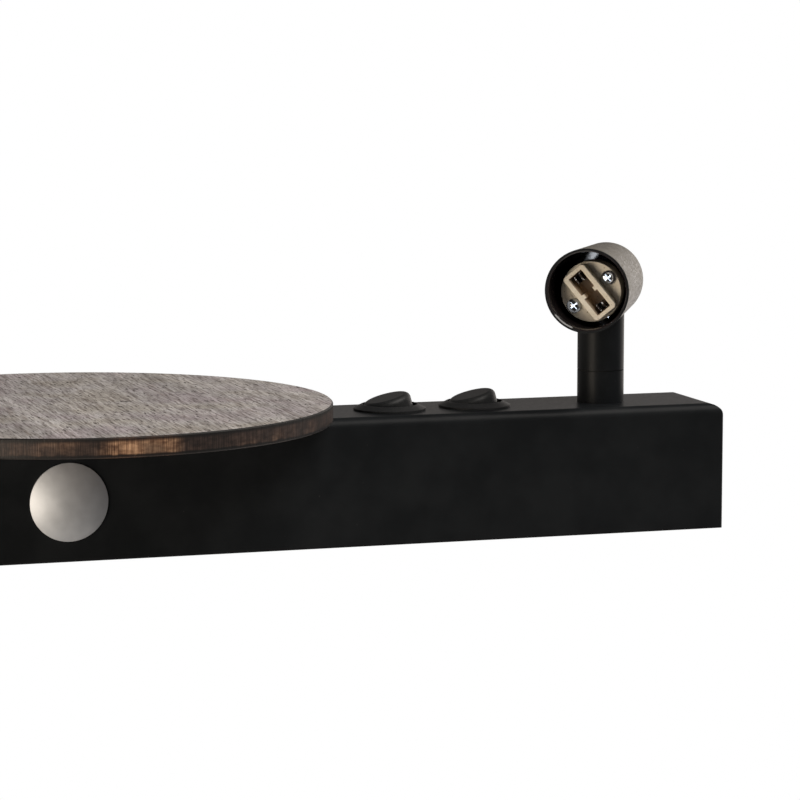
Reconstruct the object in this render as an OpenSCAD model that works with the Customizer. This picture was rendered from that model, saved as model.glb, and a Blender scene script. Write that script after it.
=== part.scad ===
// Wall lamp: a black box bar on a stem, with a round plywood shelf, two rocker switches
// and a short spot head on a swivel post at each end.
// Millimetres. The origin is on the wall, on the axis of the stem. X runs along the bar,
// Y points into the wall and Z is up.

/* [Bar] */
// Height of the bar
bar_h = 40.4; // [38:0.1:60]
// Depth of the bar, front to back
bar_d = 36; // [34:0.5:60]
// Sheet thickness of the bar
bar_wall = 1.5; // [1:0.1:2]
// Rounding of the bar's folded edges
bar_edge_r = 3; // [0.5:0.1:3.4]
// Rounding of the edges round the underside
bar_foot_r = 0.6; // [0.3:0.1:1.2]
// Rounding of the bar's upright edges
bar_corner_r = 1.5; // [0.3:0.1:3]
// Thickness of the end plates let into the bar
bar_end_wall = 3; // [2.6:0.1:5]
// Rounding of the top edge at each end of the bar
bar_end_r = 5; // [1:0.1:6]
// Height of the stem's axis above the underside of the bar
stem_rise = 18.4; // [16:0.1:20]
// Thickness of the plate that closes the underside
cover_t = 1.5; // [1:0.1:3]
// Gap round the underside plate
cover_gap = 0.3; // [0.1:0.05:0.6]
// Width of the tabs that take the cover screws
tab_w = 12; // [8:0.5:16]
// Reach of the tabs in from the wall
tab_reach = 9; // [7:0.5:11]
// Distance of the middle tabs from the stem, along the bar
tab_x = 70; // [40:1:90]
// Diameter of the cover screws
cover_screw_d = 3; // [2:0.1:3.5]
// Length of the cover screws
cover_screw_l = 7; // [5:0.5:12]

/* [Shelf] */
// Diameter of the shelf board
shelf_d = 163; // [120:1:200]
// Thickness of the shelf board
shelf_t = 6; // [4:0.5:18]
// Chamfer on the rims of the shelf board
shelf_chamfer = 0.4; // [0.1:0.1:1]
// Sideways shift of the shelf's centre from the stem
shelf_shift = 3.5; // [-10:0.5:10]
// Gap between the back of the shelf and the wall
shelf_wall_gap = 3.5; // [1:0.5:20]
// Spacing of the shelf screws along the bar
shelf_screw_span = 100; // [40:1:120]
// Spacing of the shelf screws across the bar
shelf_screw_row = 18; // [8:0.5:22]
// Shank diameter of the shelf screws
shelf_screw_d = 3.5; // [2.5:0.1:4.5]
// Board left above the tips of the shelf screws
shelf_screw_cover = 1.5; // [1:0.1:3]

/* [Wall mount] */
// Thickness of the wall strap
strap_t = 2; // [1.5:0.1:3]
// Height of the wall strap
strap_w = 20; // [18:0.5:30]
// Length of the strap's raised bridge
bridge_l = 44; // [36:1:60]
// Room behind the bridge for the rod's rear nut
bridge_room = 8; // [7.5:0.5:12]
// Length of each wall screw slot
slot_l = 10; // [8:0.5:20]
// Width of each wall screw slot
slot_w = 5; // [4:0.1:6]
// Strap beyond each slot
strap_margin = 5; // [3:0.5:10]
// Gap between the strap's ends and the canopy
strap_gap = 0.5; // [0.2:0.1:5]
// Room above and below the strap for the wall cable
cable_room = 6.5; // [5:0.5:15]
// Sheet thickness of the canopy
canopy_wall = 1.5; // [1:0.1:2.5]
// Corner rounding of the canopy
canopy_corner_r = 4; // [2:0.5:5]
// Rounding of the canopy's front edges
canopy_edge_r = 2; // [0.5:0.1:3]
// Room in front of the rod's front nut
canopy_room = 8; // [4:0.5:20]
// Diameter of the threaded rod
rod_d = 8; // [6:0.5:10]
// Width across the flats of the rod nuts
rod_nut_af = 13; // [12:0.5:17]
// Thickness of the rod nuts
rod_nut_t = 6.5; // [4:0.1:7]
// Wall of the stem tube
stem_wall = 2; // [1:0.1:4]
// Radial clearance of threads and pressed pins
thread_fit = 0.05; // [0.02:0.01:0.1]
// Radial clearance of plain holes
hole_fit = 0.3; // [0.1:0.05:0.6]
// Bore of the wire grommets
grommet_bore_d = 4.2; // [3.9:0.1:5]
// Wall of the wire grommets
grommet_wall = 1.1; // [0.8:0.1:2]
// Flange of the wire grommets, in width and thickness
grommet_flange = 1; // [0.6:0.1:1.5]
// Width of the terminal block
block_w = 12; // [10:0.5:20]
// Height of the terminal block
block_h = 24; // [21:0.5:30]
// Depth of the terminal block
block_d = 16; // [12:0.5:18]
// Gap on each side of the terminal block
block_gap = 2.5; // [1:0.5:5]
// Height of the terminal inserts above the strap
insert_rise = 10; // [10:0.1:11]
// Diameter of the terminal inserts
insert_d = 4.4; // [3.6:0.1:4.6]
// Diameter of the terminal and earth screws
clamp_screw_d = 3; // [2:0.1:3.5]

/* [Cap nut] */
// Diameter of the cap nut
cap_d = 24; // [18:0.5:30]
// Height of the cap nut's rim
cap_rim = 0.5; // [0.4:0.1:2]
// Height of the cap nut's dome above its rim
cap_dome = 4; // [1:0.1:5]
// Diameter of the cap nut's shank
cap_shank_d = 12; // [11.5:0.5:14]
// Length of the cap nut's shank
cap_shank_l = 10; // [7:0.5:14]

/* [Switches] */
// Gap from the shelf's rim to the first bezel
switch_gap = 10.5; // [2:0.5:40]
// Gap between the bezels
bezel_gap = 5.4; // [2:0.1:30]
// Diameter of the bezel
bezel_d = 22.9; // [22.5:0.1:26]
// Height of the bezel
bezel_h = 1.8; // [1.4:0.1:2.2]
// Height of the bezel's upright edge
bezel_edge = 0.6; // [0.3:0.1:1]
// Width of the bezel's flat top rim
bezel_rim = 0.3; // [0.2:0.1:0.9]
// Diameter of the panel hole
panel_hole_d = 20; // [20:0.1:20.6]
// Gap between the switch barrel and the panel hole
barrel_gap = 0.1; // [0.05:0.05:0.15]
// Wall of the switch barrel
barrel_wall = 1.2; // [1:0.1:1.3]
// Depth of the switch barrel below the panel
barrel_l = 14; // [13.5:0.5:18]
// Gap between the rocker and the bezel's hole
rocker_gap = 1; // [0.95:0.05:1.4]
// Height of the rocker's middle above the panel
rocker_h = 4.1; // [3.6:0.1:4.3]
// Rounding of the rocker's rim
rocker_round = 1.8; // [1.7:0.1:3]
// Tilt of the rocker to either side
rocker_tilt = 15; // [8:0.5:15.5]
// Depth of the rocker's pivot below the panel
pivot_depth = 1; // [0.8:0.1:2]
// Diameter of the rocker's pivot pins
pivot_d = 2.4; // [1.6:0.1:2.6]
// Running clearance of pivots and swivels
run_fit = 0.05; // [0.03:0.01:0.08]
// Distance from the pivot to the tip of the plunger
plunger_reach = 7; // [6.5:0.1:7.2]
// Diameter of the plunger
plunger_d = 2.8; // [2:0.1:3]
// Tilt of the contact arm to either side
arm_tilt = 8; // [4:0.5:9]
// Length of the contact arm
arm_l = 11; // [9:0.5:12]
// Width of the contact arm
arm_w = 3; // [2:0.1:4]
// Thickness of the contact arm
arm_t = 0.6; // [0.4:0.1:0.8]
// Width of the terminal blades
blade_w = 4.8; // [3:0.1:6]
// Thickness of the terminal blades
blade_t = 0.8; // [0.5:0.1:1]
// Length of the blades below the barrel
blade_l = 7; // [5:0.5:9]

/* [Swivel post] */
// Distance from the outer switch to the post's axis
post_gap = 42.9; // [24:0.1:80]
// Distance from the post's axis to the end of the bar
post_inset = 35.8; // [20:0.1:60]
// Diameter of the post
post_d = 15; // [14.5:0.1:18]
// Height of the fixed stub
stub_h = 10.3; // [6:0.1:20]
// Diameter of the stub's threaded shank
shank_d = 10; // [9:0.5:10]
// Width across the flats of the stub nut
stub_nut_af = 14; // [13:0.5:17]
// Thickness of the stub nut
stub_nut_t = 4; // [3:0.5:6]
// Diameter of the spigot that the post turns on
spigot_d = 9; // [8:0.1:9.2]
// Thickness of the swivel washer
washer_t = 0.3; // [0.3:0.1:1.5]
// Height of the bearing land in the post
land_h = 6.7; // [5:0.1:12]
// Depth of the stop groove in the post
groove_h = 2.5; // [2:0.1:3]
// Diameter of the stop pin
stop_pin_d = 1.5; // [1:0.1:1.5]
// Half angle of the stop lug
lug_angle = 8; // [4:0.5:8]
// Thickness of the circlip
circlip_t = 1; // [0.6:0.1:1.5]
// Length of the hollow plug in the post's top
plug_l = 4; // [3:0.5:10]
// Diameter of the lead hole through the post
lead_hole_d = 5.2; // [4.8:0.1:5.6]

/* [Head] */
// Turn of the heads from straight ahead towards the shelf
head_turn = 29; // [0:1:60]
// Distance from the post's axis to the head's front rim
head_reach = 32; // [31:0.5:60]
// Distance that the head runs on behind the post
head_tail = 5.5; // [0.2:0.1:10]
// Wall of the head tube
head_wall = 1; // [0.8:0.1:2]
// Draft of the head tube, in degrees
head_draft = 1.6; // [0:0.1:2.2]
// Diameter of the nipple on the plug
nipple_d = 7; // [6.8:0.1:7.5]
// Width across the flats of the head nut
head_nut_af = 10; // [9.5:0.5:11]
// Thickness of the head nut
head_nut_t = 4; // [2:0.5:4]

/* [Lamp holder] */
// Diameter of the ceramic base
holder_d = 19.2; // [19:0.1:24]
// Gap between the ceramic base and the head tube
holder_gap = 2.4; // [1.5:0.05:4]
// Drop of the lamp holder below the head's axis
holder_drop = 1; // [0:0.1:1.2]
// Depth of the base's face behind the rim
holder_recess = 9.5; // [7:0.5:14]
// Thickness of the ceramic base
holder_t = 9; // [8:0.5:9.5]
// Length of the nose
nose_l = 17.2; // [16:0.1:17.5]
// Width of the nose
nose_w = 8.4; // [7.6:0.1:8.6]
// Height of the nose
nose_h = 3.8; // [2:0.1:5]
// Length of the lamp slot
slot_x = 14.4; // [13:0.1:14.8]
// Width of the lamp slot
slot_y = 4.9; // [4.4:0.1:5.4]
// Depth of the lamp slot
slot_z = 8; // [6:0.1:9]
// Turn of the nose from level
nose_turn = 50; // [0:1:90]
// Spacing of the holder screws
holder_screw_span = 14; // [13.5:0.1:14.5]
// Head diameter of the holder screws
holder_screw_head_d = 4.5; // [3.5:0.1:4.8]
// Shank diameter of the holder screws
holder_screw_d = 2.9; // [2:0.1:3]
// Sheet thickness of the holder bracket
bracket_t = 1.5; // [1:0.1:2]
// Width of the bracket's foot
foot_w = 9; // [8.6:0.1:10]

/* [Hidden] */
$fn = 96;

black = "#232223";
zinc = "#a9acae";
nickel = "#b9b0a4";
brass = "#c8a24c";
ceramic = "#d9cfb8";
wood = "#a08d78";
rubber = "#1b1b1c";
plastic = "#1f1f21";
pale = "#d6d3cb";

// Small overlap that keeps cuts clean
cut = 0.01;
// Gap that keeps a moving piece off a fixed one
clear = 0.3;
// Gap between the tip of a rod, screw or pin and what lies beyond it
tip_gap = 0.5;
// Width of screwdriver slots
driver_w = 0.6;
// Depth of the cross recesses in countersunk screws
driver_depth = 0.9;
// Head of a pan-head screw, as a multiple of its shank
pan_ratio = 2;

// Bar
shelf_r = shelf_d / 2;
bezel_r = bezel_d / 2;
bar_y = -(shelf_r + shelf_wall_gap);
bar_front = bar_y - bar_d / 2;
bar_back = bar_y + bar_d / 2;
bar_bottom = -stem_rise;
bar_top = bar_bottom + bar_h;
inner_switch_x = shelf_shift + shelf_r + switch_gap + bezel_r;
outer_switch_x = inner_switch_x + bezel_d + bezel_gap;
post_x = outer_switch_x + post_gap;
bar_half = post_x + post_inset;
tab_z = bar_bottom + cover_t;
end_tab_x = bar_half - bar_end_wall - tab_reach / 2;
mid_tab_y = bar_back - bar_wall - tab_reach / 2;
cover_screw_spots = [
    [-end_tab_x, bar_y], [end_tab_x, bar_y], [-tab_x, mid_tab_y], [tab_x, mid_tab_y]
];
shelf_screw_spots = [
    for (i = [-1, 1], j = [-1, 1])
        [shelf_shift + i * shelf_screw_span / 2, bar_y + j * shelf_screw_row / 2]
];

// Wall mount
rod_r = rod_d / 2;
grommet_r = grommet_bore_d / 2 + grommet_wall;
grommet_flange_r = grommet_r + grommet_flange;
wire_z = -(rod_r + hole_fit + grommet_flange_r);
stem_in_r = grommet_flange_r - wire_z + hole_fit;
block_x = bridge_l / 2 + block_gap + block_w / 2;
slot_centre = block_x + block_w / 2 + block_gap + slot_l / 2;
strap_half = slot_centre + slot_l / 2 + strap_margin;
canopy_in = [2 * (strap_half + strap_gap), max(strap_w, block_h) + 2 * cable_room];
canopy_d = max(bridge_room + strap_t + rod_nut_t, strap_t + block_d) + canopy_room + canopy_wall;
bridge_face = -(bridge_room + strap_t);
nut_front = bridge_face - rod_nut_t;
rod_back = -tip_gap;
// Metal left between the cap nut's thread and its dome
cap_floor = 2;
rod_front = bar_front + cap_floor + tip_gap;
insert_y = -(strap_t + insert_rise);
pole_z = [-block_h / 3, 0, block_h / 3];
block_screw_z = block_h / 6;
clamp_x = [block_x - block_w / 4, block_x + block_w / 4];
clamp_l = block_d - insert_rise - insert_d / 4 - tip_gap;
// Washer under the earth screw
earth_washer_t = 1;
earth_washer_d = 9.6;

// Switches
barrel_r = panel_hole_d / 2 - barrel_gap;
bezel_hole_r = barrel_r - barrel_wall;
rocker_r = bezel_hole_r - rocker_gap;
// Depth of the rocker's rim below its pivot
rocker_skirt = 1.5;
// Wall of the stem that guides the plunger, and the plunger's length and its part below the stem
guide_wall = 0.8;
plunger_l = 4.1;
plunger_show = 2;
guide_r = plunger_d / 2 + guide_wall;
guide_drop = plunger_reach - plunger_show;
// Top of the plunger's bore below the pivot
bore_top = 0.6;
plunger_top = plunger_reach - plunger_l;
// Gap between the plunger's tip and the contact arm
contact_gap = 0.15;
arm_z = -(pivot_depth + plunger_reach + contact_gap + arm_t);
// Radius of the rib that the contact arm rocks on
arm_rib_r = 0.6;
blade_top = arm_z - arm_rib_r - clear;
// Distance of the side blade in from the end of the contact arm
blade_inset = 1.2;
side_blade_x = blade_inset - arm_l / 2;
side_blade_top = arm_z - (arm_l / 2) * tan(arm_tilt) - clear;
// Thickness of the barrel's floor
barrel_floor = 2.2;
blade_end = bar_top - barrel_l - blade_l;

// Swivel, heights above the top of the bar
post_r = post_d / 2;
spigot_r = spigot_d / 2;
post_bottom = stub_h + washer_t;
land_top = post_bottom + land_h;
circlip_z = land_top + clear;
// Depth of the circlip's groove and reach of the circlip out from it
circlip_groove = 0.5;
circlip_w = 1.5;
// Spigot above the circlip
spigot_tip = 1;
spigot_top = circlip_z + circlip_t + spigot_tip;
// Gap between the spigot and the plug
plug_gap = 1.5;
plug_bottom = spigot_top + plug_gap;
plug_top = plug_bottom + plug_l;
// Post left between the plug and the head
saddle_room = 1;
chamber_r = spigot_r + circlip_w - circlip_groove + clear + thread_fit;
groove_r = spigot_r + stop_pin_d + 2 * clear;
stop_ring_r = (spigot_r + groove_r) / 2;
// Stub shank beyond its nut
shank_tip = 1;
// Flange of the stub nut
nut_flange_t = 1;
nut_flange_d = 1.24 * stub_nut_af;

// Head, along its own axis from the post's axis, front positive
head_back = post_r + head_tail;
holder_r = holder_d / 2;
base_face = head_reach - holder_recess;
base_back = base_face - holder_t;
// Gap between the bracket's foot and the back wall of the head
foot_gap = 0.8;
function head_r(z) =
    holder_r + holder_gap + head_wall + (z - base_face) * tan(head_draft);
head_axis = plug_top + saddle_room + head_r(0);
foot_back = head_wall + foot_gap - head_back;
foot_y = -sqrt(pow(head_r(foot_back) - head_wall, 2) - pow(foot_w / 2, 2)) + thread_fit;
nut_y = foot_y + bracket_t;
nipple_top = head_axis + nut_y + head_nut_t + tip_gap;
nipple_r = nipple_d / 2;

// Leads
lead_r = 1.6;
head_lead_r = 2;
lead_sides = 8;
lead_steps = 4;
// Gap between a lead and what it passes
lead_gap = 0.8;
// Height of the leads above the cover plate
lead_rise = 2;
// Reach of the leads' bends
lead_bend = 6;
lead_z = bar_bottom + cover_t + lead_r + lead_rise;
// Height of the lead's end above the head's axis
head_lead_y = 2;
// Distance of the left post's lead in front of the bar's middle
left_lead_shift = 9;

// Rectangle from corner a to corner b, rounded by low at its two lower corners and by up
// at its two upper ones
module round_rect(a, b, low, up) {
    translate([a.x, a.y + low])
        square([b.x - a.x, b.y - a.y - low - up]);
    for (end = [[a.y + low, low], [b.y - up, up]]) {
        translate([a.x + end[1], end[0] - end[1]])
            square([b.x - a.x - 2 * end[1], 2 * end[1]]);
        for (x = [a.x + end[1], b.x - end[1]])
            translate([x, end[0]])
                circle(end[1]);
    }
}

module ring(r_out, r_in, h) {
    difference() {
        cylinder(h = h, r = r_out);
        translate([0, 0, -cut])
            cylinder(h = h + 2 * cut, r = r_in);
    }
}

module hex_nut(af, h, bore_r) {
    difference() {
        cylinder(h = h, d = af / cos(30), $fn = 6);
        translate([0, 0, -cut])
            cylinder(h = h + 2 * cut, r = bore_r);
    }
}

// Pan-head screw with a cross recess; its head stands on z = 0 and its shank points down
module pan_screw(head_d, shank_d, length) {
    head_h = 0.36 * head_d;
    crown_r = 0.8 * head_d;
    recess_l = 0.6 * head_d;
    recess_w = 0.12 * head_d;
    recess_z = 0.45 * head_h;
    difference() {
        union() {
            rotate_extrude()
                intersection() {
                    square([head_d / 2, head_h]);
                    translate([0, head_h - crown_r])
                        circle(crown_r);
                }
            translate([0, 0, -length])
                cylinder(h = length + cut, d = shank_d);
        }
        for (a = [0, 90])
            rotate(a)
                translate([-recess_l / 2, -recess_w / 2, recess_z])
                    cube([recess_l, recess_w, head_h]);
    }
}

// Smooth route through the given points
function spline(p, steps) = [
    for (i = [0:len(p) - 2], k = [0:steps - 1])
        let (
            a = p[max(i - 1, 0)],
            b = p[i],
            c = p[i + 1],
            d = p[min(i + 2, len(p) - 1)],
            t = k / steps
        )
        b + t / 2 * (c - a + t * (2 * a - 5 * b + 4 * c - d + t * (3 * (b - c) + d - a))),
    p[len(p) - 1]
];
function unit(v) = v / norm(v);
function across(t) = unit(cross(t, abs(t.z) < 0.9 ? [0, 0, 1] : [1, 0, 0]));
function tangent(p, i) = unit(p[min(i + 1, len(p) - 1)] - p[max(i - 1, 0)]);
function carried(p, i) =
    i == 0
        ? across(tangent(p, 0))
        : let (t = tangent(p, i), v = carried(p, i - 1)) unit(v - (v * t) * t);

// Round tube of radius r along a list of points
module swept_tube(p, r, sides) {
    n = len(p);
    rings = [
        for (i = [0:n - 1])
            let (t = tangent(p, i), u = carried(p, i), v = cross(t, u))
            for (k = [0:sides - 1])
                p[i] + r * (cos(360 * k / sides) * u + sin(360 * k / sides) * v)
    ];
    walls = [
        for (i = [0:n - 2], k = [0:sides - 1])
            let (a = i * sides + k, b = i * sides + (k + 1) % sides)
            each [[a, a + sides, b], [b, a + sides, b + sides]]
    ];
    ends = [
        for (k = [1:sides - 2])
            each [[0, k, k + 1], [(n - 1) * sides, (n - 1) * sides + k + 1, (n - 1) * sides + k]]
    ];
    polyhedron(rings, concat(walls, ends));
}

// Places: a switch, a post on the right (1) or left (-1), and a head's axis on its post
module at_switch(x) {
    translate([x, bar_y, bar_top])
        children();
}

module at_post(side) {
    translate([side * post_x, bar_y, bar_top])
        mirror([side < 0 ? 1 : 0, 0, 0])
            children();
}

module at_head() {
    translate([0, 0, head_axis])
        rotate([90, 0, -head_turn])
            children();
}

// Turns a shape that points up so that it points out from the wall, at height z
module out_from_wall(x, y, z) {
    translate([x, y, z])
        rotate([90, 0, 0])
            children();
}

// Wall mount
module wall_strap() {
    foot = strap_half - bridge_l / 2;
    color(zinc)
        difference() {
            union() {
                for (side = [-1, 1]) {
                    translate([side * (strap_half - foot / 2), -strap_t / 2, 0])
                        cube([foot, strap_t, strap_w], center = true);
                    translate([side * (bridge_l / 2 - strap_t / 2), bridge_face / 2, 0])
                        cube([strap_t, -bridge_face, strap_w], center = true);
                }
                translate([0, bridge_face + strap_t / 2, 0])
                    cube([bridge_l, strap_t, strap_w], center = true);
            }
            out_from_wall(0, cut, 0)
                cylinder(h = 2 * canopy_d, r = rod_r + thread_fit);
            for (side = [-1, 1])
                out_from_wall(side * slot_centre, cut, 0) {
                    translate([-(slot_l - slot_w) / 2, -slot_w / 2, 0])
                        cube([slot_l - slot_w, slot_w, strap_t + 2 * cut]);
                    for (end = [-1, 1])
                        translate([end * (slot_l - slot_w) / 2, 0, 0])
                            cylinder(h = strap_t + 2 * cut, d = slot_w);
                }
            for (x = [-block_x, block_x])
                out_from_wall(x, cut, x < 0 ? 0 : block_screw_z)
                    cylinder(h = strap_t + 2 * cut, r = clamp_screw_d / 2 + thread_fit);
        }
}

module stem_rod() {
    color(zinc)
        out_from_wall(0, rod_back, 0)
            cylinder(h = rod_back - rod_front, r = rod_r);
}

module rod_nuts() {
    color(zinc)
        for (y = [bridge_face + strap_t + rod_nut_t, bridge_face])
            out_from_wall(0, y, 0)
                hex_nut(rod_nut_af, rod_nut_t, rod_r + thread_fit);
}

module canopy() {
    half = canopy_in / 2;
    color(black)
        difference() {
            out_from_wall(0, 0, 0)
                canopy_outside();
            translate([-half.x, -(canopy_d - canopy_wall), -half.y])
                cube([2 * half.x, canopy_d, 2 * half.y]);
            out_from_wall(0, 0, 0)
                cylinder(h = canopy_d + cut, r = rod_r + hole_fit);
            out_from_wall(0, 0, wire_z)
                cylinder(h = canopy_d + cut, r = grommet_r + thread_fit);
        }
}

// The canopy's block, its front edges round; it stands on the wall
module canopy_outside() {
    outer = canopy_in / 2 + [canopy_wall, canopy_wall];
    r = canopy_edge_r;
    intersection() {
        linear_extrude(canopy_d)
            round_rect(-outer, outer, canopy_corner_r, canopy_corner_r);
        translate([-outer.x, 0, 0])
            rotate([90, 0, 90])
                linear_extrude(2 * outer.x)
                    round_rect([-outer.y, -2 * r], [outer.y, canopy_d], r, r);
        translate([0, outer.y, 0])
            rotate([90, 0, 0])
                linear_extrude(2 * outer.y)
                    round_rect([-outer.x, -2 * r], [outer.x, canopy_d], r, r);
    }
}

module stem_tube() {
    color(black)
        out_from_wall(0, -canopy_d, 0)
            ring(stem_in_r + stem_wall, stem_in_r, -canopy_d - bar_back);
}

// Two rubber grommets, in the canopy's front and in the back of the bar
module wire_grommets() {
    color(rubber)
        for (g = [[-canopy_d + canopy_wall, canopy_wall], [bar_back, bar_wall]])
            out_from_wall(0, g[0], wire_z)
                difference() {
                    union() {
                        translate([0, 0, -grommet_flange])
                            cylinder(h = grommet_flange, r = grommet_flange_r);
                        cylinder(h = g[1], r = grommet_r);
                        translate([0, 0, g[1]])
                            cylinder(h = grommet_flange, r = grommet_flange_r);
                    }
                    translate([0, 0, -grommet_flange - cut])
                        cylinder(h = g[1] + 2 * grommet_flange + 2 * cut, d = grommet_bore_d);
                }
}

// Three-pole terminal block on the strap's right foot
module terminal_block() {
    color(pale)
        difference() {
            translate([block_x - block_w / 2, -strap_t - block_d, -block_h / 2])
                cube([block_w, block_d, block_h]);
            for (z = pole_z) {
                translate([block_x - block_w, insert_y, z])
                    rotate([0, 90, 0])
                        cylinder(h = 2 * block_w, d = insert_d + 2 * thread_fit);
                for (x = clamp_x)
                    out_from_wall(x, insert_y, z)
                        cylinder(h = block_d, d = clamp_screw_d + 2 * thread_fit);
            }
            out_from_wall(block_x, 0, block_screw_z)
                cylinder(h = 2 * block_d, d = clamp_screw_d + 2 * thread_fit);
        }
}

module terminal_inserts() {
    wire_hole_d = 0.6 * insert_d;
    color(brass)
        for (z = pole_z)
            difference() {
                translate([block_x - block_w / 2 + tip_gap, insert_y, z])
                    rotate([0, 90, 0])
                        ring(insert_d / 2, wire_hole_d / 2, block_w - 2 * tip_gap);
                for (x = clamp_x)
                    out_from_wall(x, insert_y, z)
                        cylinder(h = block_d, d = clamp_screw_d + 2 * thread_fit);
            }
}

module terminal_screws() {
    color(zinc)
        for (z = pole_z, x = clamp_x)
            out_from_wall(x, insert_y - insert_d / 4, z)
                difference() {
                    cylinder(h = clamp_l, d = clamp_screw_d);
                    translate([-clamp_screw_d, -driver_w / 2, clamp_l - driver_w])
                        cube([2 * clamp_screw_d, driver_w, 2 * driver_w]);
                }
}

module block_screw() {
    color(zinc)
        out_from_wall(block_x, -strap_t - block_d, block_screw_z)
            pan_screw(pan_ratio * clamp_screw_d, clamp_screw_d, block_d + strap_t - tip_gap);
}

module earth_screw() {
    color(brass)
        out_from_wall(-block_x, -strap_t, 0) {
            ring(earth_washer_d / 2, clamp_screw_d / 2, earth_washer_t);
            translate([0, 0, earth_washer_t])
                pan_screw(pan_ratio * clamp_screw_d, clamp_screw_d, strap_t + earth_washer_t - tip_gap);
        }
}

// Bar
module bar_shell() {
    color(black)
        difference() {
            union() {
                difference() {
                    bar_outside();
                    translate([-bar_half + bar_end_wall, bar_front + bar_wall, bar_bottom - cut])
                        cube([2 * (bar_half - bar_end_wall), bar_d - 2 * bar_wall, bar_h - bar_wall + cut]);
                }
                cover_tabs();
            }
            bar_holes();
        }
}

module bar_outside() {
    intersection() {
        translate([-bar_half, 0, 0])
            rotate([90, 0, 90])
                linear_extrude(2 * bar_half)
                    round_rect([bar_front, bar_bottom], [bar_back, bar_top], bar_foot_r, bar_edge_r);
        out_from_wall(0, bar_back, 0)
            linear_extrude(bar_d)
                round_rect([-bar_half, bar_bottom], [bar_half, bar_top], bar_foot_r, bar_end_r);
        translate([0, 0, bar_bottom])
            linear_extrude(bar_h)
                round_rect([-bar_half, bar_front], [bar_half, bar_back], bar_corner_r, bar_corner_r);
    }
}

// Inward tabs that the cover plate is screwed to
module cover_tabs() {
    for (side = [-1, 1]) {
        translate([side * end_tab_x, bar_y, tab_z + bar_wall / 2])
            cube([tab_reach + 2 * cut, tab_w, bar_wall], center = true);
        translate([side * tab_x, mid_tab_y, tab_z + bar_wall / 2])
            cube([tab_w, tab_reach + 2 * cut, bar_wall], center = true);
    }
}

module bar_holes() {
    through = bar_wall + 2 * cut;
    for (x = [inner_switch_x, outer_switch_x])
        at_switch(x)
            translate([0, 0, -bar_wall - cut])
                cylinder(h = through, d = panel_hole_d);
    for (side = [-1, 1])
        at_post(side)
            translate([0, 0, -bar_wall - cut])
                cylinder(h = through, r = shank_d / 2 + thread_fit);
    for (p = shelf_screw_spots)
        translate([p.x, p.y, bar_top - bar_wall - cut])
            cylinder(h = through, r = shelf_screw_d / 2 + hole_fit);
    for (p = cover_screw_spots)
        translate([p.x, p.y, tab_z - cut])
            cylinder(h = through, r = cover_screw_d / 2 + thread_fit);
    out_from_wall(0, bar_front + bar_wall + cut, 0)
        cylinder(h = through, r = cap_shank_d / 2 + thread_fit);
    out_from_wall(0, bar_back + cut, 0)
        cylinder(h = through, r = rod_r + hole_fit);
    out_from_wall(0, bar_back + cut, wire_z)
        cylinder(h = through, r = grommet_r + thread_fit);
}

module cover_plate() {
    inset = bar_wall + cover_gap;
    end_inset = bar_end_wall + cover_gap;
    color(black)
        difference() {
            translate([-bar_half + end_inset, bar_front + inset, bar_bottom])
                cube([2 * (bar_half - end_inset), bar_d - 2 * inset, cover_t]);
            for (p = cover_screw_spots)
                translate([p.x, p.y, bar_bottom - cut])
                    countersink(thread_fit);
        }
}

// Countersunk screw shape, head flush with z = 0 and shank upwards
module countersink(fit) {
    head_h = cover_screw_d / 2;
    cylinder(h = head_h, r1 = cover_screw_d + fit, r2 = cover_screw_d / 2 + fit);
    cylinder(h = cover_screw_l, r = cover_screw_d / 2 + fit);
}

module cover_screws() {
    color(zinc)
        for (p = cover_screw_spots)
            translate([p.x, p.y, bar_bottom])
                difference() {
                    countersink(0);
                    for (a = [0, 90])
                        rotate(a)
                            translate([-cover_screw_d / 2, -driver_w / 2, -cut])
                                cube([cover_screw_d, driver_w, driver_depth]);
                }
}

module cap_nut() {
    r = cap_d / 2;
    ball_r = (r * r + cap_dome * cap_dome) / (2 * cap_dome);
    color(nickel)
        out_from_wall(0, bar_front, 0)
            difference() {
                union() {
                    cylinder(h = cap_rim, r = r);
                    intersection() {
                        cylinder(h = cap_rim + cap_dome, r = r);
                        translate([0, 0, cap_rim + cap_dome - ball_r])
                            rotate([90, 0, 0])
                                sphere(ball_r, $fn = 180);
                    }
                    translate([0, 0, -cap_shank_l])
                        cylinder(h = cap_shank_l + cut, r = cap_shank_d / 2);
                }
                translate([0, 0, -cap_shank_l - cut])
                    cylinder(h = cap_shank_l - cap_floor + cut, r = rod_r + thread_fit);
            }
}

// Shelf
module shelf_board() {
    c = shelf_chamfer;
    color(wood)
        difference() {
            translate([shelf_shift, bar_y, bar_top])
                rotate_extrude($fn = 180)
                    polygon([
                        [0, 0], [shelf_r - c, 0], [shelf_r, c],
                        [shelf_r, shelf_t - c], [shelf_r - c, shelf_t], [0, shelf_t]
                    ]);
            for (p = shelf_screw_spots)
                translate([p.x, p.y, bar_top - cut])
                    cylinder(
                        h = shelf_t - shelf_screw_cover + cut,
                        r = shelf_screw_d / 2 + thread_fit
                    );
        }
}

module shelf_screws() {
    color(zinc)
        for (p = shelf_screw_spots)
            translate([p.x, p.y, bar_top - bar_wall])
                mirror([0, 0, 1])
                    pan_screw(
                        pan_ratio * shelf_screw_d, shelf_screw_d,
                        bar_wall + shelf_t - shelf_screw_cover
                    );
}

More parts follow.
